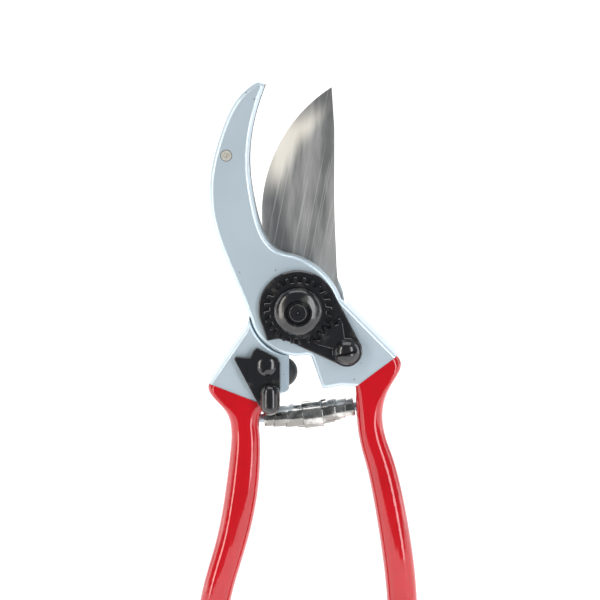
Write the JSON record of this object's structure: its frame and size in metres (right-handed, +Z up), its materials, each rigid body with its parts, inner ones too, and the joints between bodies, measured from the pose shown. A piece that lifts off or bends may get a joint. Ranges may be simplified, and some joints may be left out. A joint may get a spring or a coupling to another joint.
{
  "type": "bypass pruning shears",
  "caption": "Hand shears with a curved hook and a ground cutting blade on two coated handles, opened by a volute spring and locked by a thumb catch.",
  "frame": {"origin": "on the pivot axis, at the plane where the cutting blade slides on the counter blade", "axes": "+Z up along the jaws, +X to the hook's handle, -Y towards the front, where the lock nut is"},
  "size_m": [0.0759, 0.0259, 0.2172],
  "materials": {
    "silver_paint": "forged aluminium, satin silver",
    "red_coating": "dipped red vinyl, high gloss",
    "blade_steel": "ground lengthwise, lightly scratched",
    "black_steel": "gloss black",
    "spring_nickel": "bright nickel plate",
    "rubber": "smooth black rubber"
  },
  "bodies": {
    "hook_side": {"hook_handle": "silver_paint", "hook_grip": "red_coating", "counter_blade": "blade_steel", "counter_blade_rivet": "blade_steel", "pivot_bolt": "black_steel", "thrust_washer": "black_steel", "toothed_nut": "black_steel", "lock_plate": "black_steel", "toothed_segment": "black_steel", "segment_screw": "black_steel"},
    "blade_side": {"blade_handle": "silver_paint", "blade_grip": "red_coating", "cutting_blade": "blade_steel", "blade_pin": "blade_steel", "bumper": "rubber", "catch_screw": "black_steel", "catch_washer": "spring_nickel", "volute_spring": "spring_nickel"},
    "catch": {"catch_plate": "black_steel", "catch_button": "black_steel"}
  },
  "joints": [
    {"name": "jaw_hinge", "type": "hinge", "parent": "hook_side", "child": "blade_side", "pos_m": [0, 0, 0], "axis": [0, -1, 0], "range_deg": [0, 16], "stiffness_Nm_per_rad": 1, "springref_deg": -20.05, "deforming": ["volute_spring"]},
    {"name": "catch_turn", "type": "hinge", "parent": "blade_side", "child": "catch", "pos_m": [-0.0105, 0, -0.0193], "axis": [0, 1, 0], "range_deg": [0, 64]}
  ]
}
